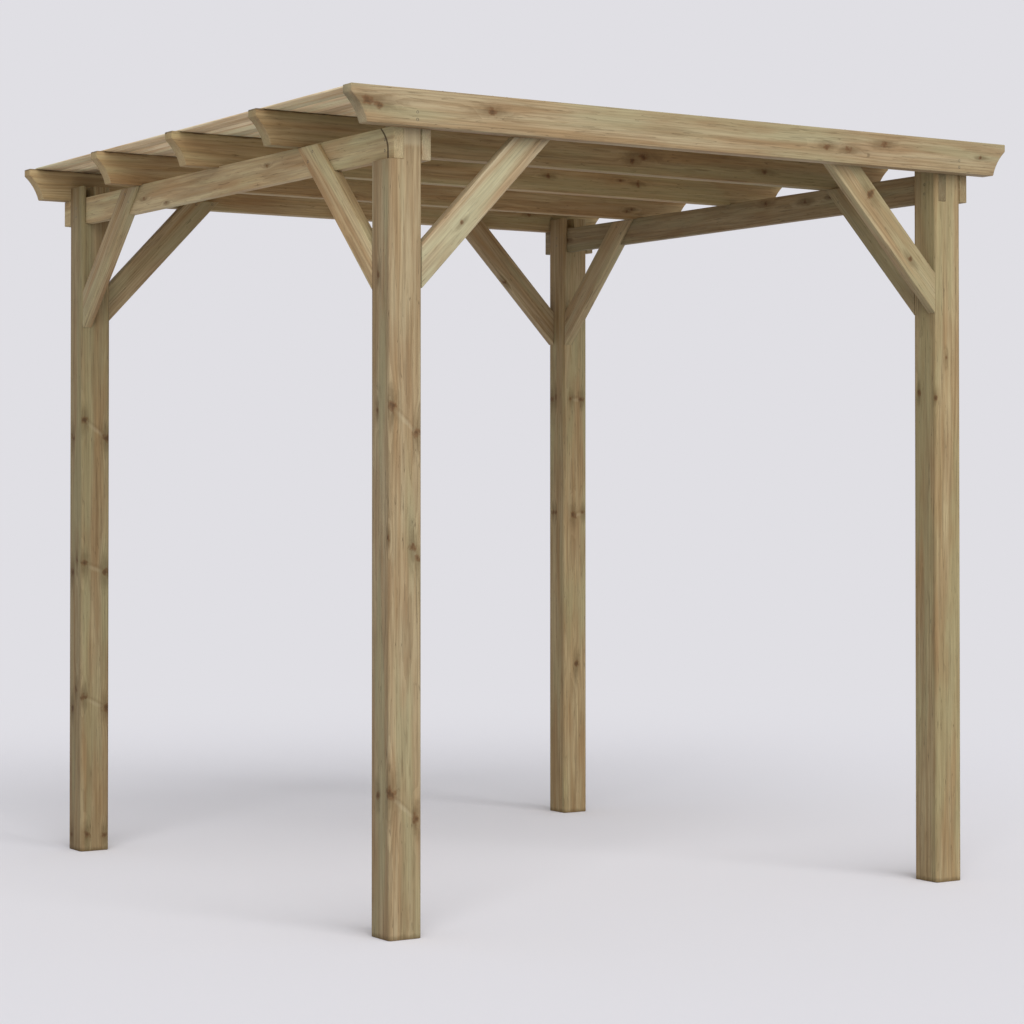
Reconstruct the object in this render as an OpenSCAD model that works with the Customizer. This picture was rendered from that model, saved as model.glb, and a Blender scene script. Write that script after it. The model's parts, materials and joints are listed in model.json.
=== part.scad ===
// Wooden pergola: four posts with housed rails, knee braces, cove-ended rafters and a slatted top.
// X runs along the rafters, Y along the rails, Z up. The origin is on the ground, midway between the posts.

/* [Posts] */
// Side of the square post section
post_w = 100; // [90:1:140]
// Radius of the rounded post arrises
post_r = 9; // [2:0.5:12]
// Distance between post centres along the rafters
span_x = 1916; // [1400:1:3200]
// Distance between post centres along the rails
span_y = 2035; // [1400:1:3200]
// Height of the rail seats above the ground
clear_h = 2074; // [1800:1:2600]
// How far the post head stands above the rails, beside an outer rafter
tongue_rise = 38; // [15:1:80]

/* [Rails] */
// Thickness of a rail
rail_t = 30; // [22:1:45]
// Depth of a rail
rail_h = 87; // [70:1:140]
// Thickness of the post cheek outside a rail
rail_setback = 14; // [12:1:25]
// Thickness of the cleat on the other face of a post head
cleat_t = 28; // [16:1:45]

/* [Rafters] */
// Thickness of a rafter
rafter_t = 48; // [32:1:60]
// Depth of a rafter
rafter_h = 99; // [80:1:150]
// Depth of the notch that seats a rafter on a rail
rafter_notch = 4; // [2:1:20]
// How far a rafter runs past the post face
rafter_tail = 143; // [90:1:400]
// Height of the square nose at a rafter end
nose_h = 22; // [10:1:40]
// Length of the cove under a rafter end
cove_run = 49; // [25:1:80]
// Radius of the cove
cove_r = 150; // [90:1:250]

/* [Braces] */
// Width of a brace board
brace_w = 84; // [50:1:110]
// Thickness of a brace board
brace_t = 33; // [22:1:45]
// How far a brace face lies behind the post face
brace_setback = 2; // [0:0.5:5]
// Reach of a rail brace along the rail
rail_brace_run = 345; // [260:1:520]
// Drop of a rail brace below the rail
rail_brace_drop = 345; // [260:1:520]
// Reach of a rafter brace along the rafter
rafter_brace_run = 410; // [260:1:560]
// Drop of a rafter brace below the rafter
rafter_brace_drop = 426; // [260:1:560]
// How far a rafter brace laps the inner face of its rafter
rafter_brace_lap = 25; // [15:1:70]

/* [Roof slats] */
// Width of a slat
slat_w = 39; // [20:1:70]
// Thickness of a slat
slat_t = 5; // [4:0.5:20]
// Gap between two slats
slat_gap = 2; // [1:0.5:40]
// Least distance from a rafter end to the first slat
slat_margin = 22; // [10:1:80]
// How far the slats stop short of the outer rafter faces
slat_setback = 34; // [5:1:40]

/* [Hidden] */
$fn = 48;
rafter_n = 5;
mat_n = 5;
rail_top = clear_h + rail_h;
tongue_top = rail_top + tongue_rise;
rafter_bottom = rail_top - rafter_notch;
rafter_top = rafter_bottom + rafter_h;
rafter_len = span_x + post_w + 2 * rafter_tail;
outer_y = (span_y + post_w) / 2;
rail_len = 2 * outer_y + rafter_t;
rail_edge = rail_setback - post_w / 2;
rafter_pitch = (2 * outer_y + rafter_t) / (rafter_n - 1);
slat_pitch = slat_w + slat_gap;
slat_len = 2 * (outer_y + rafter_t - slat_setback);
mat_count = floor((rafter_len - 2 * slat_margin + slat_gap) / slat_pitch / mat_n);
mat_w = mat_count * slat_pitch;
mid = (rafter_n - 1) / 2;
cut = 1;

// Square with round corners, centred
module rounded_square(w, r) {
    square([w, w - 2 * r], center = true);
    square([w - 2 * r, w], center = true);
    for (x = [-1, 1], y = [-1, 1])
        translate([x * (w / 2 - r), y * (w / 2 - r)]) circle(r);
}

// Post whose head is housed for the rail; without its cheek the housing is open on the outside
module post(sx, sy, cheek) {
    open = cheek ? 0 : rail_setback + cut;
    color("#9a8257")
    translate([sx * span_x / 2, sy * span_y / 2, 0])
    difference() {
        linear_extrude(tongue_top) rounded_square(post_w, post_r);
        translate([rail_edge - open, -post_w / 2 - cut, clear_h])
            cube([rail_t + open, post_w + 2 * cut, tongue_top]);
    }
}

// Rail along Y, from the front posts' faces to the outer face of the last rafter
module rail(sx) {
    color("#948059")
    translate([sx * span_x / 2 + rail_edge, -outer_y, clear_h]) cube([rail_t, rail_len, rail_h]);
}

// Short cleat on a post head, level with the rail
module cleat(sx, sy) {
    color("#948059")
    translate([(sx * span_x + post_w) / 2, (sy * span_y - post_w) / 2, clear_h]) cube([cleat_t, post_w, rail_h]);
}

// Centre of the cove's arc, measured from the top corner of the rafter end
function cove_centre() =
    let (drop = rafter_h - nose_h, chord = sqrt(cove_run ^ 2 + drop ^ 2))
    let (reach = sqrt(cove_r ^ 2 - (chord / 2) ^ 2))
    [cove_run / 2 - reach * drop / chord, -nose_h - drop / 2 - reach * cove_run / chord];

// Rafter along X with a square nose and a cove at both ends; all but the first are notched over the rails
module rafter(i) {
    c = cove_centre();
    color("#a38b5f")
    translate([0, (i - mid) * rafter_pitch, rafter_top])
    difference() {
        translate([-rafter_len / 2, -rafter_t / 2, -rafter_h]) cube([rafter_len, rafter_t, rafter_h]);
        for (s = [-1, 1])
            translate([s * (rafter_len / 2 - c[0]), 0, c[1]])
                rotate([90, 0, 0]) cylinder(r = cove_r, h = rafter_t + 2 * cut, center = true, $fn = 96);
        if (i > 0)
            for (s = [-1, 1])
                translate([s * span_x / 2 + rail_edge, -rafter_t / 2 - cut, -rafter_h - cut])
                    cube([rail_t, rafter_t + 2 * cut, rafter_notch + cut]);
    }
}

// Outline of a brace from the post face (0) to a beam's underside (0), running on up to top
module brace_outline(run, drop, top) {
    rise = brace_w * sqrt(run ^ 2 + drop ^ 2) / run;
    polygon([
        [0, -drop],
        [run * (1 + top / drop), top],
        [run * (1 + (top - rise) / drop), top],
        [0, rise - drop]
    ]);
}

// Brace between a post and its rail: the face of it laps the rail up to the rafters, the rest stops below
module rail_brace(sx, sy) {
    color("#97825a")
    translate([sx * span_x / 2 - post_w / 2 + brace_setback, sy * (span_y - post_w) / 2, clear_h])
    mirror([0, sy > 0 ? 1 : 0, 0])
    rotate([90, 0, 90]) {
        linear_extrude(rail_setback - brace_setback)
            brace_outline(rail_brace_run, rail_brace_drop, rail_h - rafter_notch);
        linear_extrude(brace_t) brace_outline(rail_brace_run, rail_brace_drop, 0);
    }
}

// Brace between a post and an outer rafter, flat on the rafter's inner face at the top
module rafter_brace(sx, sy) {
    color("#97825a")
    translate([sx * (span_x - post_w) / 2, sy * outer_y, rafter_bottom])
    mirror([sx > 0 ? 1 : 0, 0, 0])
    translate([0, sy > 0 ? 0 : brace_t, 0])
    rotate([90, 0, 0])
        linear_extrude(brace_t) brace_outline(rafter_brace_run, rafter_brace_drop, rafter_brace_lap);
}

// Mat of thin slats along Y, laid on the rafters
module slat_mat(k) {
    color("#b39a6b")
    for (j = [0 : mat_count - 1])
        translate([(k - mat_n / 2) * mat_w + j * slat_pitch + slat_gap / 2, -slat_len / 2, rafter_top])
            cube([slat_w, slat_len, slat_t]);
}

post(-1, -1, false);  // post_front_left
post(1, -1, true);  // post_front_right
post(-1, 1, true);  // post_back_left
post(1, 1, true);  // post_back_right
rail(-1);  // rail_left
rail(1);  // rail_right
cleat(-1, -1);  // cleat_front_left
cleat(1, -1);  // cleat_front_right
cleat(-1, 1);  // cleat_back_left
cleat(1, 1);  // cleat_back_right
rafter(0);  // rafter_1
rafter(1);  // rafter_2
rafter(2);  // rafter_3
rafter(3);  // rafter_4
rafter(4);  // rafter_5
rail_brace(-1, -1);  // rail_brace_front_left
rail_brace(1, -1);  // rail_brace_front_right
rail_brace(-1, 1);  // rail_brace_back_left
rail_brace(1, 1);  // rail_brace_back_right
rafter_brace(-1, -1);  // rafter_brace_front_left
rafter_brace(1, -1);  // rafter_brace_front_right
rafter_brace(-1, 1);  // rafter_brace_back_left
rafter_brace(1, 1);  // rafter_brace_back_right
slat_mat(0);  // slat_mat_1
slat_mat(1);  // slat_mat_2
slat_mat(2);  // slat_mat_3
slat_mat(3);  // slat_mat_4
slat_mat(4);  // slat_mat_5
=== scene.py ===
import json
import math
import random

import bpy
from mathutils import Euler, Matrix, Vector

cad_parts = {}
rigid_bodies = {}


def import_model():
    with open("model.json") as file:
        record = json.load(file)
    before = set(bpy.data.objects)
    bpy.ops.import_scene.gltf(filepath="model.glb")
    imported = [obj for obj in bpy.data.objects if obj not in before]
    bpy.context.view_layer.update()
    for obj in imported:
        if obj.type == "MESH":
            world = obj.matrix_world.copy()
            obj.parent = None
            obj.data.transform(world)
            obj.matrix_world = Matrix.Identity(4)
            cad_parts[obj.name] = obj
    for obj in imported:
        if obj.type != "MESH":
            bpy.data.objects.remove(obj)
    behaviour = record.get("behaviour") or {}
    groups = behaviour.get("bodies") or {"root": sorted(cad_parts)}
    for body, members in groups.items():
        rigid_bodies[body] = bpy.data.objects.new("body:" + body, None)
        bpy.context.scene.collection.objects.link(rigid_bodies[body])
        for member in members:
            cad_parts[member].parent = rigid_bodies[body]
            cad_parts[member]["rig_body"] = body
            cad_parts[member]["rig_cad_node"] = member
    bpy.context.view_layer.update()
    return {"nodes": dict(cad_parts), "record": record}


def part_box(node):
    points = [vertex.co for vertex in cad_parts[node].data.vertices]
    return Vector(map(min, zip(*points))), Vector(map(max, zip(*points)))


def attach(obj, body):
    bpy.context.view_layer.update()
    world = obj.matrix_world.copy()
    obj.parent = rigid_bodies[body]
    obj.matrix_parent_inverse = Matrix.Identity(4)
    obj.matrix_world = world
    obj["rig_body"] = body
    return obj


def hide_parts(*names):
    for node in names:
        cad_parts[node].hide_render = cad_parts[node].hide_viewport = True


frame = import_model()
scene = bpy.context.scene
mm = 0.001
print("frame loaded:", len(frame["nodes"]), "nodes")


# Small tools

def linear(code):  # sRGB hex to the linear colour that sockets take
    parts = [int(code[i:i + 2], 16) / 255 for i in (1, 3, 5)]
    return tuple(c / 12.92 if c <= 0.04045 else ((c + 0.055) / 1.055) ** 2.4 for c in parts) + (1,)


def addNode(tree, kind, settings=None, inputs=None):  # an input is a socket to link or a plain value
    node = tree.nodes.new(kind)
    for key, value in (settings or {}).items():
        setattr(node, key, value)
    for key, value in (inputs or {}).items():
        if isinstance(value, bpy.types.NodeSocket):
            tree.links.new(value, node.inputs[key])
        else:
            node.inputs[key].default_value = value
    return node


def deselectAll():
    bpy.ops.object.select_all(action="DESELECT")


def corners(nodeName):  # low and high corner of a timber in millimetres
    return [Vector(corner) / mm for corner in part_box(nodeName)]


# Camera at the photo's view

photoView = {
    "place": (-4.468, -7.077, 1.194),  # metres, fitted to the post edges, feet and roof lines
    "yaw": 57.387,        # degrees from +X
    "pitch": 0.808,
    "focalPx": 2616.8,
    "axisAbovePx": 59.4,  # the optical axis meets the photo above its middle
    "framePx": 1024,
    "sensorMm": 36,
    "farthest": 200,
}


def aimCamera(spec):
    bpy.ops.object.camera_add(location=spec["place"])
    camera = bpy.context.object
    camera.name = "photo_camera"
    yaw, pitch = math.radians(spec["yaw"]), math.radians(spec["pitch"])
    ahead = Vector((math.cos(yaw) * math.cos(pitch), math.sin(yaw) * math.cos(pitch), math.sin(pitch)))
    camera.rotation_euler = ahead.to_track_quat("-Z", "Y").to_euler()
    camera.data.sensor_width = spec["sensorMm"]
    camera.data.lens = spec["sensorMm"] * spec["focalPx"] / spec["framePx"]
    camera.data.shift_y = -spec["axisAbovePx"] / spec["framePx"]
    camera.data.clip_end = spec["farthest"]
    scene.camera = camera


aimCamera(photoView)
print("camera set")


# Floor and studio light

studio = {
    "floorRadius": 60.0,
    "fadeFrom": 3.2, "fadeTo": 7.0,   # metres from the middle, where the floor runs into the backdrop
    "backdrop": "#e0dfe4",
    "floor": "#e9e8ee",
    "worldStrength": 0.46,
    "keyPlace": (-1.9, -7.5, 5.2), "keyAim": (0, 0, 1.2),
    "keyStrength": 3.1, "keyAngle": 72,  # a wide sun, so that the floor is lit evenly
}


def layFloor(spec):
    bpy.ops.mesh.primitive_circle_add(vertices=96, radius=spec["floorRadius"], fill_type="NGON")
    floor = bpy.context.object
    floor.name = "studio_floor"
    # Matt painted floor: no shine, and far out it takes the plain colour of the backdrop
    material = bpy.data.materials.new("matt_studio_floor")
    material.use_nodes = True
    tree = material.node_tree
    tree.nodes.clear()
    place = addNode(tree, "ShaderNodeTexCoord").outputs["Object"]
    reach = addNode(tree, "ShaderNodeVectorMath", {"operation": "LENGTH"}, {0: place}).outputs["Value"]
    fade = addNode(tree, "ShaderNodeMapRange", {"interpolation_type": "SMOOTHSTEP"}, {
        "Value": reach, "From Min": spec["fadeFrom"], "From Max": spec["fadeTo"]}).outputs["Result"]
    seen = addNode(tree, "ShaderNodeLightPath").outputs["Is Camera Ray"]
    mix = addNode(tree, "ShaderNodeMath", {"operation": "MULTIPLY"}, {0: fade, 1: seen}).outputs["Value"]
    matt = addNode(tree, "ShaderNodeBsdfDiffuse", None, {"Color": linear(spec["floor"])}).outputs["BSDF"]
    glow = addNode(tree, "ShaderNodeEmission", None, {"Color": linear(spec["backdrop"])}).outputs["Emission"]
    shade = addNode(tree, "ShaderNodeMixShader", None, {0: mix, 1: matt, 2: glow}).outputs["Shader"]
    addNode(tree, "ShaderNodeOutputMaterial", None, {"Surface": shade})
    floor.data.materials.append(material)


def lightStudio(spec):
    world = bpy.data.worlds.new("studio_world")
    scene.world = world
    world.use_nodes = True
    tree = world.node_tree
    tree.nodes.clear()
    path = addNode(tree, "ShaderNodeLightPath")
    seen = addNode(tree, "ShaderNodeMath", {"operation": "MAXIMUM"}, {
        0: path.outputs["Is Camera Ray"], 1: path.outputs["Is Glossy Ray"]}).outputs["Value"]
    lit = addNode(tree, "ShaderNodeBackground", None, {
        "Color": (1, 1, 1, 1), "Strength": spec["worldStrength"]})
    back = addNode(tree, "ShaderNodeBackground", None, {"Color": linear(spec["backdrop"]), "Strength": 1.0})
    mix = addNode(tree, "ShaderNodeMixShader", None, {
        0: seen, 1: lit.outputs["Background"], 2: back.outputs["Background"]})
    addNode(tree, "ShaderNodeOutputWorld", None, {"Surface": mix.outputs["Shader"]})
    bpy.ops.object.light_add(type="SUN", location=spec["keyPlace"])
    key = bpy.context.object
    key.name = "key_light"
    key.data.energy = spec["keyStrength"]
    key.data.angle = math.radians(spec["keyAngle"])
    aim = Vector(spec["keyAim"]) - Vector(spec["keyPlace"])
    key.rotation_euler = aim.to_track_quat("-Z", "Y").to_euler()


layFloor(studio)
lightStudio(studio)
scene.view_settings.view_transform = "Standard"
print("studio set")


# Timber: each node's copy is merged, cleaned to plain faces and eased along its sharp edges

easing = {
    "post": {"edge": 2.0, "rounds": 2},
    "rail": {"edge": 2.5, "rounds": 3},
    "rafter": {"edge": 2.5, "rounds": 3},
    "brace": {"edge": 2.5, "rounds": 3},
    "slat": {"edge": 1.7, "rounds": 2},
}
mergeMm = 0.01
angles = {"flat": 0.5, "sharp": 32, "smooth": 40}  # degrees between faces
matNames = ["slat_mat_%d" % i for i in range(1, 6)]
rafterNames = ["rafter_%d" % i for i in range(1, 6)]
planed = {"rafter_1": (1, 0.988), "rafter_5": (1, 0.988)}  # axis, and the share of the thickness that is left
planed.update({name: (2, 0.9) for name in matNames})  # so the screw and nail heads stay inside the CAD box


def dressTimber(nodeName, slotName):
    spec = easing[slotName]
    deselectAll()
    node = frame["nodes"][nodeName]
    node.select_set(True)
    bpy.context.view_layer.objects.active = node
    bpy.ops.object.duplicate()
    piece = bpy.context.object
    piece.name = nodeName + "_timber"
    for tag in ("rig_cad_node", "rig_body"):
        del piece[tag]
    bpy.ops.object.mode_set(mode="EDIT")
    bpy.ops.mesh.select_all(action="SELECT")
    bpy.ops.mesh.remove_doubles(threshold=mergeMm * mm)
    bpy.ops.mesh.dissolve_limited(angle_limit=math.radians(angles["flat"]))
    if nodeName in planed:
        axis, share = planed[nodeName]
        low, high = (Vector(corner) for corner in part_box(nodeName))
        still = low if slotName == "slat" else (low + high) / 2  # slats stay on the rafters
        size = [1.0, 1.0, 1.0]
        size[axis] = share
        bpy.ops.transform.resize(value=size, center_override=still)
    bpy.ops.mesh.select_all(action="DESELECT")
    bpy.ops.mesh.select_mode(type="EDGE")
    bpy.ops.mesh.edges_select_sharp(sharpness=math.radians(angles["sharp"]))
    bpy.ops.mesh.bevel(offset=spec["edge"] * mm, segments=spec["rounds"], profile=0.5, clamp_overlap=True)
    bpy.ops.object.mode_set(mode="OBJECT")
    bpy.ops.object.shade_smooth_by_angle(angle=math.radians(angles["smooth"]))
    piece.data.materials.clear()
    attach(piece, "root")
    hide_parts(nodeName)
    return piece


# Grain: every timber has its own frame with X along the grain, and its own pith and knots

ringMm = 7.0    # real rings are 3 to 4 mm, drawn coarser so that they show at this distance
grainNoise = {  # size along and across the grain in millimetres, and detail
    "streak": (520, 26, 3.0),   # bands of pale and tan wood
    "fibre": (170, 4.5, 2.0),   # real fibres are finer, drawn as coarse as they need to show
    "fleck": (60, 4.5, 2.0),    # short dark resin lines
    "tint": (650, 60, 1.0),     # cast of the treatment
    "blush": (260, 50, 2.0),    # brown patches
    "split": (340, 9, 1.0),     # drying checks
    "ragged": (16, 11, 3.0),    # rims of the knots
}
noiseRoom = 90  # each noise starts at another place along noiseLine, up to this far
noiseLine = Vector((1.0, 1.7, 0.6))
sweep = {"tint": 20, "streak": 12}  # millimetres by which the log's sweep and taper push the rings
pineColours = {
    "pale": "#ab9b7b", "tan": "#9a8260", "late": "#6f583b",    # early wood, its darker bands, late wood
    "green": "#9d9876", "brown": "#8a6b4b",                    # treatment, resin
    "end": "#978b6e", "pale_patch": "#b7ab8d",                      # sawn ends, a paler patch
    "halo_and_shade": "#5a472b", "heart": "#6b4a2e", "bark": "#362819",  # round a knot (also the painted shade at the post feet), in it and at its core
    # drying checks, the dark line on the left rail, and painted shade along the rafters' tops under the slats
    "check_and_shade": "#3a2c1d",
}
# the slats' 2.0 is painted light: their undersides, under the roof, are drawn far lighter than the other
# timbers
slotLightAndTone = {"post": 0.79, "rail": 0.89, "rafter": 0.84, "brace": 0.91, "slat": 2.0}
# painted light and shade: timbers under the roof and on the shaded side are set darker, those at the front
# lighter
lightAndToneOf = {  # lightness of single timbers against their slot, as the photo shows them
    "post_front_left": 1.03, "post_back_left": 0.86, "post_back_right": 1.06,
    "rail_left": 1.32, "rail_right": 0.7, "cleat_front_left": 1.25, "rafter_1": 1.02, "rafter_2": 0.84,
    "rail_brace_front_left": 1.42, "rafter_brace_front_left": 1.14, "rail_brace_front_right": 0.85,
}
toneSpread = 0.03
endLightOf = {"rail": 0.72, "rafter": 1.4}  # painted light and shade on the sawn ends: the rails' ends, which face the light, are drawn greyer, the rafters' ends, which face away from it, paler
shadeCastOf = {  # colour cast of a slot or of one timber, painted shade: those in the shade are drawn browner than those at the front
    "post": (1.0, 0.98, 0.9), "rail": (1.0, 0.97, 0.9), "rafter": (1.04, 0.96, 0.82),
    "brace": (1.0, 0.98, 0.94), "slat": (0.97, 1.02, 1.12),
    "post_front_left": (1.01, 1.0, 0.98), "rail_left": (1.0, 1.0, 0.96), "cleat_front_left": (1.0, 1.0, 1.02),
    "rafter_1": (1.0, 0.99, 0.98), "rafter_brace_front_left": (0.98, 1.03, 1.1),
}
seenKnots = {  # from the photo: face, millimetres across from its middle and up from its low edge, radius
    "post_front_left": [
        ("front", -38, 1415, 10), ("front", 35, 1345, 9), ("front", 20, 1040, 9), ("front", 36, 1010, 7),
        ("front", -48, 390, 12), ("front", 30, 320, 9), ("left", 14, 1405, 6), ("left", 10, 1770, 7),
        ("left", -42, 1065, 6), ("left", 10, 380, 8)],
    "post_back_left": [
        ("front", -40, 1425, 9), ("front", 40, 1365, 9), ("front", 37, 920, 9), ("front", -40, 950, 9),
        ("front", -40, 510, 8), ("front", 40, 470, 9), ("front", -27, 55, 8), ("front", 35, 50, 7),
        ("left", -14, 960, 7), ("left", -8, 530, 8)],
    "post_back_right": [
        ("front", -20, 1530, 7), ("front", 26, 1530, 7), ("front", -10, 1100, 10), ("front", 34, 1110, 6),
        ("front", 3, 550, 9), ("left", 5, 1535, 7), ("left", 5, 1110, 6)],
    "post_front_right": [("left", 25, 1490, 7), ("left", -48, 1475, 7), ("front", -8, 1595, 5)],
    "rafter_1": [
        ("front", -1100, 58, 12), ("front", -1070, 46, 11), ("front", -715, 56, 10), ("front", 445, 46, 9),
        ("front", 525, 40, 8), ("front", 665, 65, 9), ("front", 1050, 51, 5)],
    "rafter_2": [("front", 173, 53, 11), ("front", 130, 39, 7), ("front", 640, 38, 8)],
    "rafter_brace_front_right": [("front", -40, 347, 9), ("front", 115, 159, 6)],
}
drawnKnots = {  # on the other timbers: how many, and how far across from the middle in millimetres
    "rail": (4, 15, 38), "rafter": (3, 24, 42), "brace": (1, 36, 16), "slat": (0, 0, 0),
}
knot = {
    "radius": (4.5, 9.5), "swell": 1.22,  # millimetres for the drawn ones, and a factor for the seen ones
    "reach": 0.46,                        # share of the timber's length, both ways from its middle
    "long": 1.2, "pull": 0.3,             # shape along the grain, of the knot and of the grain round it
    "blend": 0.3,                         # how softly two near knots run together
    "ragged": 2.6, "smear": {"streak": 1.6, "ragged": 0.8},
    "flowFrom": 1.1, "flowTo": 3.8, "flowMm": 9,  # the rings step aside round a knot
}
whorls = {  # pairs of the seen knots that grew from one ring of branches, with a scar from one to the other
    "post_front_left": [(4, 5), (2, 3), (0, 1)],
    "post_back_left": [(4, 5), (2, 3), (0, 1)],
    "post_back_right": [(2, 3), (0, 1)],
    "rafter_1": [(0, 1)],
}
scar = {
    "wide": 9.0, "deep": 30.0, "long": 0.6,  # millimetres, and a share of the way between the knots
    "bands": ((6.0, "late", 0.24), (-4.0, "pale_patch", 0.34)),  # height in millimetres, colour and share
}
contactShade = {  # millimetres: where the painted shade starts, where it is full and how ragged its edge is
    "rafter": (50, 58, 16),  # above the middle, under the slats
    "foot": (24, 9, 14),     # above the ground
}
headLine = {"from": 30, "to": 46}  # millimetres above the rail's underside, where the post head turns paler
railDarkLine = {"back": 33.5, "up": 26, "wide": (6, 2.5), "bow": 10.4}  # millimetres, and how fast it bends
slatsInMat = 11
slatPitch = (corners(matNames[1])[0].x - corners(matNames[0])[0].x) / slatsInMat
slatCount = slatsInMat * len(matNames)
slatSpan = slatCount * slatPitch
boardShift = (7.0, 0.09, 0.05)  # metres along and across the grain, from slat to slat
dice = random.Random(41)


def grainFrame(nodeName, slotName):  # middle of the timber and the turn that lays X along its grain
    low, high = (Vector(corner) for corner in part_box(nodeName))
    middle = (low + high) / 2
    if slotName == "post":
        return middle, Euler((0, -math.pi / 2, 0))
    if slotName == "rafter":
        return middle, Euler((0, 0, 0))
    if slotName in ("rail", "slat"):
        return middle, Euler((0, 0, math.pi / 2))
    size = high - low
    if nodeName.startswith("rail_brace"):
        along, face = Vector((0, size.y if "front" in nodeName else -size.y, size.z)), Vector((1, 0, 0))
    else:
        along, face = Vector((size.x if "left" in nodeName else -size.x, 0, size.z)), Vector((0, 1, 0))
    along.normalize()
    return middle, Matrix((along, face.cross(along), face)).transposed().to_euler()


def pithOf(slotName):  # posts hold the heart of the tree, boards are cut beside it; millimetres
    if slotName == "post":
        return Vector((0, dice.uniform(-14, 14), dice.uniform(-14, 14))) * mm
    if slotName == "brace":
        return Vector((0, dice.uniform(-25, 25), dice.choice((-1, 1)) * dice.uniform(45, 75))) * mm
    return Vector((0, dice.choice((-1, 1)) * dice.uniform(50, 80), dice.uniform(-20, 20))) * mm


def knotPlace(nodeName, seen):  # point on the timber's face
    low, high = (Vector(corner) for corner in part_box(nodeName))
    face, across, up = seen[:3]
    point = Vector(((low.x + high.x) / 2 + across * mm, low.y, low.z + up * mm))
    if face == "left":
        point.x, point.y = low.x, (low.y + high.y) / 2 + across * mm
    return point


def knotsOf(nodeName, slotName, middle, turn):  # places in the timber's own frame, and radii
    if nodeName in seenKnots:
        back = turn.to_matrix().inverted()
        return [(back @ (knotPlace(nodeName, seen) - middle), seen[3] * knot["swell"] * mm)
                for seen in seenKnots[nodeName]]
    if nodeName.startswith("cleat"):
        return []
    low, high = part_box(nodeName)
    reach = knot["reach"] * max(b - a for a, b in zip(low, high))
    count, wide, deep = drawnKnots[slotName]
    knots = []
    for _ in range(count):
        y, z = dice.uniform(-1, 1) * wide, dice.uniform(-1, 1) * deep
        place = Vector((dice.uniform(-reach, reach), y * mm, z * mm))
        knots.append((place, dice.uniform(*knot["radius"]) * mm))
    return knots


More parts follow.
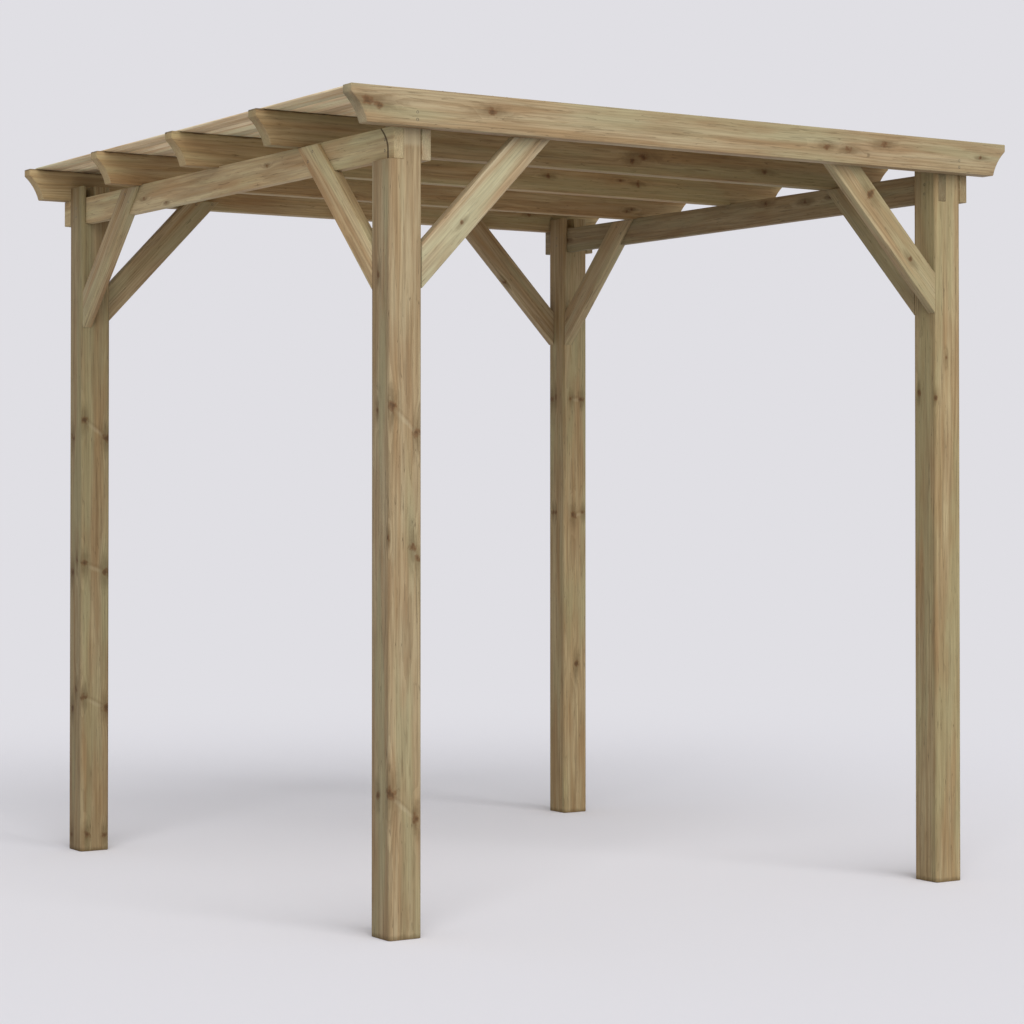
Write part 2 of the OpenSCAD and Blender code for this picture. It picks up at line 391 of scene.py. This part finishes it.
def pineMaterial(nodeName, slotName):
    # Pressure-treated pine, planed and left bare: a dull face with soft growth-ring lines, a faint green cast
    # from the treatment, brown patches and flecks, red-brown knots with dark cores and hairline drying checks
    middle, turn = grainFrame(nodeName, slotName)
    pith = pithOf(slotName)
    tone = slotLightAndTone[slotName] * lightAndToneOf.get(nodeName, 1.0) * dice.uniform(1 - toneSpread, 1 + toneSpread)
    cast = shadeCastOf.get(nodeName, shadeCastOf[slotName])
    shade = {}
    for name, code in pineColours.items():
        light = tone * endLightOf.get(slotName, 1.0) if name == "end" else tone
        shade[name] = tuple(c * light * k for c, k in zip(linear(code), cast)) + (1,)
    material = bpy.data.materials.new("treated_pine_" + nodeName)
    material.use_nodes = True
    tree = material.node_tree
    surface = tree.nodes["Principled BSDF"]
    coordinates = addNode(tree, "ShaderNodeTexCoord")
    spot = addNode(tree, "ShaderNodeSeparateXYZ", None, {"Vector": coordinates.outputs["Object"]})
    local = addNode(tree, "ShaderNodeMapping", {"vector_type": "TEXTURE"}, {
        "Vector": coordinates.outputs["Object"], "Location": middle, "Rotation": turn}).outputs["Vector"]
    if slotName == "slat":  # each slat is cut from another board
        count = addNode(tree, "ShaderNodeMath", {"operation": "MULTIPLY_ADD"}, {
            0: spot.outputs["X"], 1: 1 / (slatPitch * mm), 2: slatSpan / 2 / slatPitch}).outputs[0]
        count = addNode(tree, "ShaderNodeMath", {"operation": "FLOOR"}, {0: count}).outputs[0]
        board = addNode(tree, "ShaderNodeTexWhiteNoise", {"noise_dimensions": "1D"}, {"W": count})
        local = addNode(tree, "ShaderNodeVectorMath", {"operation": "MULTIPLY_ADD"}, {
            0: board.outputs["Color"], 1: boardShift, 2: local}).outputs["Vector"]

    noise = {}
    for name, (long, wide, detail) in grainNoise.items():
        shift = dice.uniform(0, noiseRoom)
        place = addNode(tree, "ShaderNodeMapping", None, {
            "Vector": local, "Location": shift * noiseLine,
            "Scale": (1000 / long, 1000 / wide, 1000 / wide)})
        noise[name] = addNode(tree, "ShaderNodeTexNoise", None, {
            "Vector": place.outputs["Vector"], "Scale": 1.0, "Detail": detail}).outputs["Fac"]

    near = smear = None  # distance to the nearest knot, 1 at its rim, and the same drawn out along the grain
    for place, radius in knotsOf(nodeName, slotName, middle, turn):
        limb = place - pith
        roll = math.atan2(-limb.y, limb.z)  # the knot runs from the pith out to its place on the face
        rim = addNode(tree, "ShaderNodeMapping", {"vector_type": "TEXTURE"}, {
            "Vector": local, "Location": (place.x, pith.y, pith.z), "Rotation": (roll, 0, 0),
            "Scale": (radius * knot["long"], radius, 0)}).outputs["Vector"]
        pulled = addNode(tree, "ShaderNodeVectorMath", {"operation": "MULTIPLY"}, {
            0: rim, 1: (knot["pull"], 1, 1)}).outputs["Vector"]
        reach = addNode(tree, "ShaderNodeVectorMath", {"operation": "LENGTH"}, {0: rim}).outputs["Value"]
        tail = addNode(tree, "ShaderNodeVectorMath", {"operation": "LENGTH"}, {0: pulled}).outputs["Value"]
        if near is not None:
            reach = addNode(tree, "ShaderNodeMath", {"operation": "SMOOTH_MIN"}, {
                0: near, 1: reach, 2: knot["blend"]}).outputs[0]
            tail = addNode(tree, "ShaderNodeMath", {"operation": "SMOOTH_MIN"}, {
                0: smear, 1: tail, 2: knot["blend"]}).outputs[0]
        near, smear = reach, tail

    across = addNode(tree, "ShaderNodeMapping", {"vector_type": "TEXTURE"}, {
        "Vector": local, "Location": pith, "Scale": (0, 1, 1)}).outputs["Vector"]
    ring = addNode(tree, "ShaderNodeVectorMath", {"operation": "LENGTH"}, {0: across}).outputs["Value"]
    for name, push in sweep.items():
        ring = addNode(tree, "ShaderNodeMath", {"operation": "MULTIPLY_ADD"}, {
            0: noise[name], 1: push * mm, 2: ring}).outputs[0]
    if near is not None:
        near = addNode(tree, "ShaderNodeMath", {"operation": "MULTIPLY_ADD"}, {
            0: noise["ragged"], 1: knot["ragged"], 2: near}).outputs[0]
        for name, share in knot["smear"].items():
            smear = addNode(tree, "ShaderNodeMath", {"operation": "MULTIPLY_ADD"}, {
                0: noise[name], 1: share, 2: smear}).outputs[0]
        flow = addNode(tree, "ShaderNodeMapRange", {"interpolation_type": "SMOOTHSTEP"}, {
            "Value": smear, "From Min": knot["flowFrom"], "From Max": knot["flowTo"],
            "To Min": knot["flowMm"] * mm, "To Max": 0.0}).outputs["Result"]
        ring = addNode(tree, "ShaderNodeMath", {"operation": "ADD"}, {0: ring, 1: flow}).outputs[0]
    phase = addNode(tree, "ShaderNodeMath", {"operation": "DIVIDE"}, {0: ring, 1: ringMm * mm}).outputs[0]
    phase = addNode(tree, "ShaderNodeMath", {"operation": "FRACT"}, {0: phase}).outputs[0]
    facing = addNode(tree, "ShaderNodeVectorMath", {"operation": "DOT_PRODUCT"}, {
        0: coordinates.outputs["Normal"], 1: turn.to_matrix() @ Vector((1, 0, 0))}).outputs["Value"]
    facing = addNode(tree, "ShaderNodeMath", {"operation": "ABSOLUTE"}, {0: facing}).outputs[0]
    split = addNode(tree, "ShaderNodeMath", {"operation": "SUBTRACT"}, {0: noise["split"], 1: 0.5}).outputs[0]
    split = addNode(tree, "ShaderNodeMath", {"operation": "ABSOLUTE"}, {0: split}).outputs[0]

    layers = [  # laid over the pale wood: source, where it starts and is full, share and colour
        (noise["streak"], 0.32, 0.7, 1.0, "tan"),
        (phase, 0.3, 0.92, 0.3, "late"),
        (noise["tint"], 0.46, 0.64, 0.55, "green"),
        (noise["blush"], 0.46, 0.68, 0.35, "brown"),
        (noise["fleck"], 0.56, 0.7, 0.26, "late"),
        (facing, 0.6, 0.9, 0.5, "end"),
    ]
    for pair in whorls.get(nodeName, []):
        start, end = (knotPlace(nodeName, seenKnots[nodeName][k]) for k in pair)
        along = end - start
        for lift, name, share in scar["bands"]:
            lens = addNode(tree, "ShaderNodeMapping", {"vector_type": "TEXTURE"}, {
                "Vector": coordinates.outputs["Object"],
                "Location": (start + end) / 2 + Vector((0, 0, lift * mm)),
                "Rotation": (0, math.atan2(-along.z, along.x), 0),
                "Scale": (scar["long"] * along.length, scar["deep"] * mm, scar["wide"] * mm)})
            lens = addNode(tree, "ShaderNodeVectorMath", {"operation": "LENGTH"}, {
                0: lens.outputs["Vector"]}).outputs["Value"]
            lens = addNode(tree, "ShaderNodeMath", {"operation": "ADD"}, {
                0: lens, 1: noise["ragged"]}).outputs[0]
            layers.append((lens, 1.6, 0.7, share, name))
    if slotName != "slat":
        layers.append((split, 0.009, 0.002, 0.4, "check_and_shade"))
    if near is not None:
        layers.append((smear, 3.0, 1.5, 0.48, "halo_and_shade"))
        layers.append((near, 2.55, 1.75, 0.7, "heart"))
        layers.append((near, 1.95, 1.3, 0.45, "bark"))
    if slotName == "rafter" and nodeName != "rafter_1":  # painted shade along the rafter's top, under the slats
        start, full, ragged = contactShade["rafter"]
        upper = addNode(tree, "ShaderNodeSeparateXYZ", None, {"Vector": local}).outputs["Z"]
        upper = addNode(tree, "ShaderNodeMath", {"operation": "MULTIPLY_ADD"}, {
            0: noise["fleck"], 1: ragged * mm, 2: upper}).outputs[0]
        layers.append((upper, start * mm, full * mm, 0.75, "check_and_shade"))
    if slotName == "post":  # painted contact shade at the foot, with a ragged edge
        start, full, ragged = contactShade["foot"]
        foot = addNode(tree, "ShaderNodeMath", {"operation": "MULTIPLY_ADD"}, {
            0: noise["ragged"], 1: ragged * mm, 2: spot.outputs["Z"]}).outputs[0]
        layers.append((foot, start * mm, full * mm, 0.6, "halo_and_shade"))
    railLow = corners("rail_left")[0]
    if nodeName == "post_front_left":  # the head is drawn paler above this line
        start, full = railLow.z + headLine["from"], railLow.z + headLine["to"]
        layers.append((spot.outputs["Z"], start * mm, full * mm, 0.5, "pale_patch"))
    if nodeName == "rail_left":  # curved dark line beside the front post, running into the arris
        rise = addNode(tree, "ShaderNodeMath", {"operation": "SUBTRACT"}, {
            0: spot.outputs["Z"], 1: (railLow.z + railDarkLine["up"]) * mm}).outputs[0]
        rise = addNode(tree, "ShaderNodeMath", {"operation": "MAXIMUM"}, {0: rise, 1: 0.0}).outputs[0]
        bow = addNode(tree, "ShaderNodeMath", {"operation": "POWER"}, {0: rise, 1: 2.0}).outputs[0]
        bow = addNode(tree, "ShaderNodeMath", {"operation": "MULTIPLY_ADD"}, {
            0: bow, 1: railDarkLine["bow"], 2: (railLow.y + railDarkLine["back"]) * mm}).outputs[0]
        aside = addNode(tree, "ShaderNodeMath", {"operation": "SUBTRACT"}, {
            0: spot.outputs["Y"], 1: bow}).outputs[0]
        aside = addNode(tree, "ShaderNodeMath", {"operation": "ABSOLUTE"}, {0: aside}).outputs[0]
        start, full = railDarkLine["wide"]
        layers.append((aside, start * mm, full * mm, 0.85, "check_and_shade"))
    colour, masks = shade["pale"], {}  # where two layers share a colour, the upper one's mask is kept
    for source, start, full, share, name in layers:
        bottom, top = (0.0, share) if full > start else (share, 0.0)
        masks[name] = addNode(tree, "ShaderNodeMapRange", {"interpolation_type": "SMOOTHSTEP"}, {
            "Value": source, "From Min": min(start, full), "From Max": max(start, full),
            "To Min": bottom, "To Max": top}).outputs["Result"]
        colour = addNode(tree, "ShaderNodeMix", {"data_type": "RGBA"}, {
            0: masks[name], 6: colour, 7: shade[name]}).outputs[2]

    worn = addNode(tree, "ShaderNodeMapRange", None, {
        "Value": noise["fibre"], "From Min": 0.25, "From Max": 0.75,
        "To Min": 0.86, "To Max": 1.14}).outputs["Result"]
    if slotName == "slat":  # some boards are paler than others
        light = addNode(tree, "ShaderNodeMapRange", None, {
            "Value": board.outputs["Value"], "To Min": 0.78, "To Max": 1.12}).outputs["Result"]
        worn = addNode(tree, "ShaderNodeMath", {"operation": "MULTIPLY"}, {0: worn, 1: light}).outputs[0]
    colour = addNode(tree, "ShaderNodeVectorMath", {"operation": "SCALE"}, {
        "Vector": colour, "Scale": worn}).outputs["Vector"]
    rough = addNode(tree, "ShaderNodeMapRange", None, {
        "Value": noise["fibre"], "From Min": 0.2, "From Max": 0.8,
        "To Min": 0.6, "To Max": 0.8}).outputs["Result"]
    height = noise["fibre"]
    for name, rise in (("late", 1.1), ("heart", 0.6), ("check_and_shade", -1.8)):  # hard wood stands up; the checks sink, and on the left rail its dark line, on the inner rafters the painted shade under the slats
        if name in masks:
            height = addNode(tree, "ShaderNodeMath", {"operation": "MULTIPLY_ADD"}, {
                0: masks[name], 1: rise, 2: height}).outputs[0]
    relief = addNode(tree, "ShaderNodeBump", None, {"Strength": 0.5, "Distance": 0.9 * mm, "Height": height})
    tree.links.new(colour, surface.inputs["Base Color"])
    tree.links.new(rough, surface.inputs["Roughness"])
    tree.links.new(relief.outputs["Normal"], surface.inputs["Normal"])
    surface.inputs["IOR"].default_value = 1.45
    surface.inputs["Specular IOR Level"].default_value = 0.18
    return material


timbers = {}
for part in frame["record"]["subparts"]:
    timbers[part["node"]] = dressTimber(part["node"], part["material_slot"])
    timbers[part["node"]].data.materials.append(pineMaterial(part["node"], part["material_slot"]))
print("timbers dressed:", len(timbers))


# Packing on the end of the left rail, behind the back post and under the last rafter

packing = {"edge": 2.0, "rounds": 2, "gap": 0.5, "short": 0.2}  # millimetres, apart from the rounds


def packRailEnd(spec):
    deselectAll()
    postLow, postHigh = corners("post_back_left")
    railLow, railHigh = corners("rail_left")
    rafterLow = corners(rafterNames[-1])[0]
    low = Vector((postLow.x, postHigh.y, railLow.z + spec["gap"])) * mm
    high = Vector((railLow.x, railHigh.y - spec["short"], rafterLow.z - spec["gap"])) * mm
    bpy.ops.mesh.primitive_cube_add(size=1, location=(low + high) / 2)
    piece = bpy.context.object
    piece.name = "rail_end_packing"
    piece.scale = high - low
    bpy.ops.object.transform_apply(location=True, rotation=True, scale=True)
    bpy.ops.object.mode_set(mode="EDIT")
    bpy.ops.mesh.select_all(action="SELECT")
    bpy.ops.mesh.bevel(offset=spec["edge"] * mm, segments=spec["rounds"], profile=0.5, clamp_overlap=True)
    bpy.ops.object.mode_set(mode="OBJECT")
    bpy.ops.object.shade_smooth_by_angle(angle=math.radians(angles["smooth"]))
    piece.data.materials.append(timbers["rail_left"].data.materials[0])
    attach(piece, "root")


packRailEnd(packing)
print("rail end packed")


# Fixings

screw = {"radius": 4.3, "depth": 1.6, "rim": 1.7, "drive": 1.0, "sides": 12, "proud": 0.15}  # mm, but for sides
nail = {"radius": 2.6, "depth": 1.0, "rim": 0.7, "drive": 0.15, "sides": 8, "proud": 0.3}
driveTaper = 0.15  # share of the radius
stain = {"mm": 3.0, "dark": "#4c463c", "bright": "#8a8069"}


def zincMaterial(spec):
    # Zinc-plated steel, passivated yellow and gone dull: a soft grey-gold shine with darker stains
    material = bpy.data.materials.new("dull_zinc_plated_steel")
    material.use_nodes = True
    tree = material.node_tree
    surface = tree.nodes["Principled BSDF"]
    place = addNode(tree, "ShaderNodeTexCoord").outputs["Object"]
    cloud = addNode(tree, "ShaderNodeTexNoise", None, {
        "Vector": place, "Scale": 1000 / spec["mm"], "Detail": 3.0}).outputs["Fac"]
    share = addNode(tree, "ShaderNodeMapRange", None, {
        "Value": cloud, "From Min": 0.3, "From Max": 0.7}).outputs["Result"]
    colour = addNode(tree, "ShaderNodeMix", {"data_type": "RGBA"}, {
        0: share, 6: linear(spec["dark"]), 7: linear(spec["bright"])}).outputs[2]
    rough = addNode(tree, "ShaderNodeMapRange", None, {
        "Value": cloud, "To Min": 0.35, "To Max": 0.6}).outputs["Result"]
    relief = addNode(tree, "ShaderNodeBump", None, {"Strength": 0.2, "Distance": 0.1 * mm, "Height": cloud})
    tree.links.new(colour, surface.inputs["Base Color"])
    tree.links.new(rough, surface.inputs["Roughness"])
    tree.links.new(relief.outputs["Normal"], surface.inputs["Normal"])
    surface.inputs["Metallic"].default_value = 1.0
    return material


def makeHead(name, spec):  # head facing +Z with its top at zero: a rim and a sunk drive
    deselectAll()
    bpy.ops.mesh.primitive_cylinder_add(
        vertices=spec["sides"], radius=spec["radius"] * mm, depth=spec["depth"] * mm,
        location=(0, 0, -spec["depth"] / 2 * mm))
    head = bpy.context.object
    head.name = name
    bpy.ops.object.transform_apply(location=True, rotation=True, scale=True)
    bpy.ops.object.mode_set(mode="EDIT")
    bpy.ops.mesh.select_mode(type="FACE")
    bpy.ops.mesh.select_all(action="DESELECT")
    bpy.ops.object.mode_set(mode="OBJECT")
    for face in head.data.polygons:
        face.select = face.normal.z > 0.9
    bpy.ops.object.mode_set(mode="EDIT")
    bpy.ops.mesh.inset(thickness=spec["rim"] * mm)
    bpy.ops.mesh.inset(thickness=driveTaper * spec["radius"] * mm)
    bpy.ops.transform.translate(value=(0, 0, -spec["drive"] * mm))
    bpy.ops.object.mode_set(mode="OBJECT")
    return head


def driveHeads(name, spec, places, material):  # one copy at each (point, normal), joined to one piece
    master = makeHead(name + "_master", spec)
    copies = []
    for point, normal in places:
        copy = master.copy()
        copy.data = master.data.copy()
        turn = Vector(normal).to_track_quat("Z", "Y").to_matrix().to_4x4()
        seat = (Vector(point) + Vector(normal) * spec["proud"]) * mm
        copy.data.transform(Matrix.Translation(seat) @ turn)
        scene.collection.objects.link(copy)
        copies.append(copy)
    bpy.data.objects.remove(master)
    deselectAll()
    for copy in copies:
        copy.select_set(True)
    bpy.context.view_layer.objects.active = copies[0]
    bpy.ops.object.join()
    piece = bpy.context.object
    piece.name = name
    piece.data.materials.clear()
    piece.data.materials.append(material)
    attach(piece, "root")


screwLines = {  # millimetres
    "rafterAside": {"left": 8, "right": 4},       # from the post's middle
    "rafterUp": (37, 17),                         # above the rafter's underside
    "headUp": (54, 25),                           # above the rail's underside
    "railBrace": ((66.5, 45), (92.5, 19)),        # out from the brace's inner end and down from its top
    "rafterBrace": ((86, 14), (26, 10)),
}
nailLine = {"inward": 9, "spreadX": 6, "spreadY": 4}  # millimetres, inward on the outer rafters only
outerRafters = ((rafterNames[0], -1), (rafterNames[-1], 1))
ends = (("front", -1), ("back", 1))
sides = (("left", -1), ("right", 1))
outLeft = (-1, 0, 0)

rafterScrews = []
for side, aside in screwLines["rafterAside"].items():
    postLow, postHigh = corners("post_front_" + side)
    for up in screwLines["rafterUp"]:
        for nodeName, away in outerRafters:
            low, high = corners(nodeName)
            y = (low.y + high.y + away * planed[nodeName][1] * (high.y - low.y)) / 2
            rafterScrews.append((((postLow.x + postHigh.x) / 2 + aside, y, low.z + up), (0, away, 0)))

headScrews = []
for end, _ in ends:
    for side, _ in sides:
        low, high = corners("post_%s_%s" % (end, side))
        railLow = corners("rail_" + side)[0]
        isOpen = (end, side) == ("front", "left")  # an open housing: the screws are in the rail
        x = railLow.x if isOpen else low.x
        for up in screwLines["headUp"]:
            headScrews.append(((x, (low.y + high.y) / 2, railLow.z + up), outLeft))

braceScrews = []
for side, outX in sides:
    for end, outY in ends:
        low, high = corners("rail_brace_%s_%s" % (end, side))
        inner = high.y if outY < 0 else low.y
        for out, down in screwLines["railBrace"]:
            braceScrews.append(((low.x, inner + outY * out, high.z - down), outLeft))
        low, high = corners("rafter_brace_%s_%s" % (end, side))
        inner = high.x if outX < 0 else low.x
        face = high.y if outY < 0 else low.y
        for out, down in screwLines["rafterBrace"]:
            braceScrews.append(((inner + outX * out, face, high.z - down), (0, -outY, 0)))

slatLow, slatHigh = corners(matNames[0])
slatTop = slatLow.z + planed[matNames[0]][1] * (slatHigh.z - slatLow.z)
nailPlaces = []
for i in range(slatCount):
    x = (i + 0.5) * slatPitch - slatSpan / 2
    for name in rafterNames:
        low, high = corners(name)
        inward = -dict(outerRafters).get(name, 0) * nailLine["inward"]  # clear of the slats' ends
        y = (low.y + high.y) / 2 + inward
        asideX = dice.uniform(-nailLine["spreadX"], nailLine["spreadX"])
        asideY = dice.uniform(-nailLine["spreadY"], nailLine["spreadY"])
        nailPlaces.append(((x + asideX, y + asideY, slatTop), (0, 0, 1)))

zinc = zincMaterial(stain)
driveHeads("rafter_screws", screw, rafterScrews, zinc)
driveHeads("post_head_screws", screw, headScrews, zinc)
driveHeads("brace_screws", screw, braceScrews, zinc)
driveHeads("slat_nails", nail, nailPlaces, zinc)
screwCount = len(rafterScrews) + len(headScrews) + len(braceScrews)
print("fixings set:", screwCount, "screws,", len(nailPlaces), "nails")
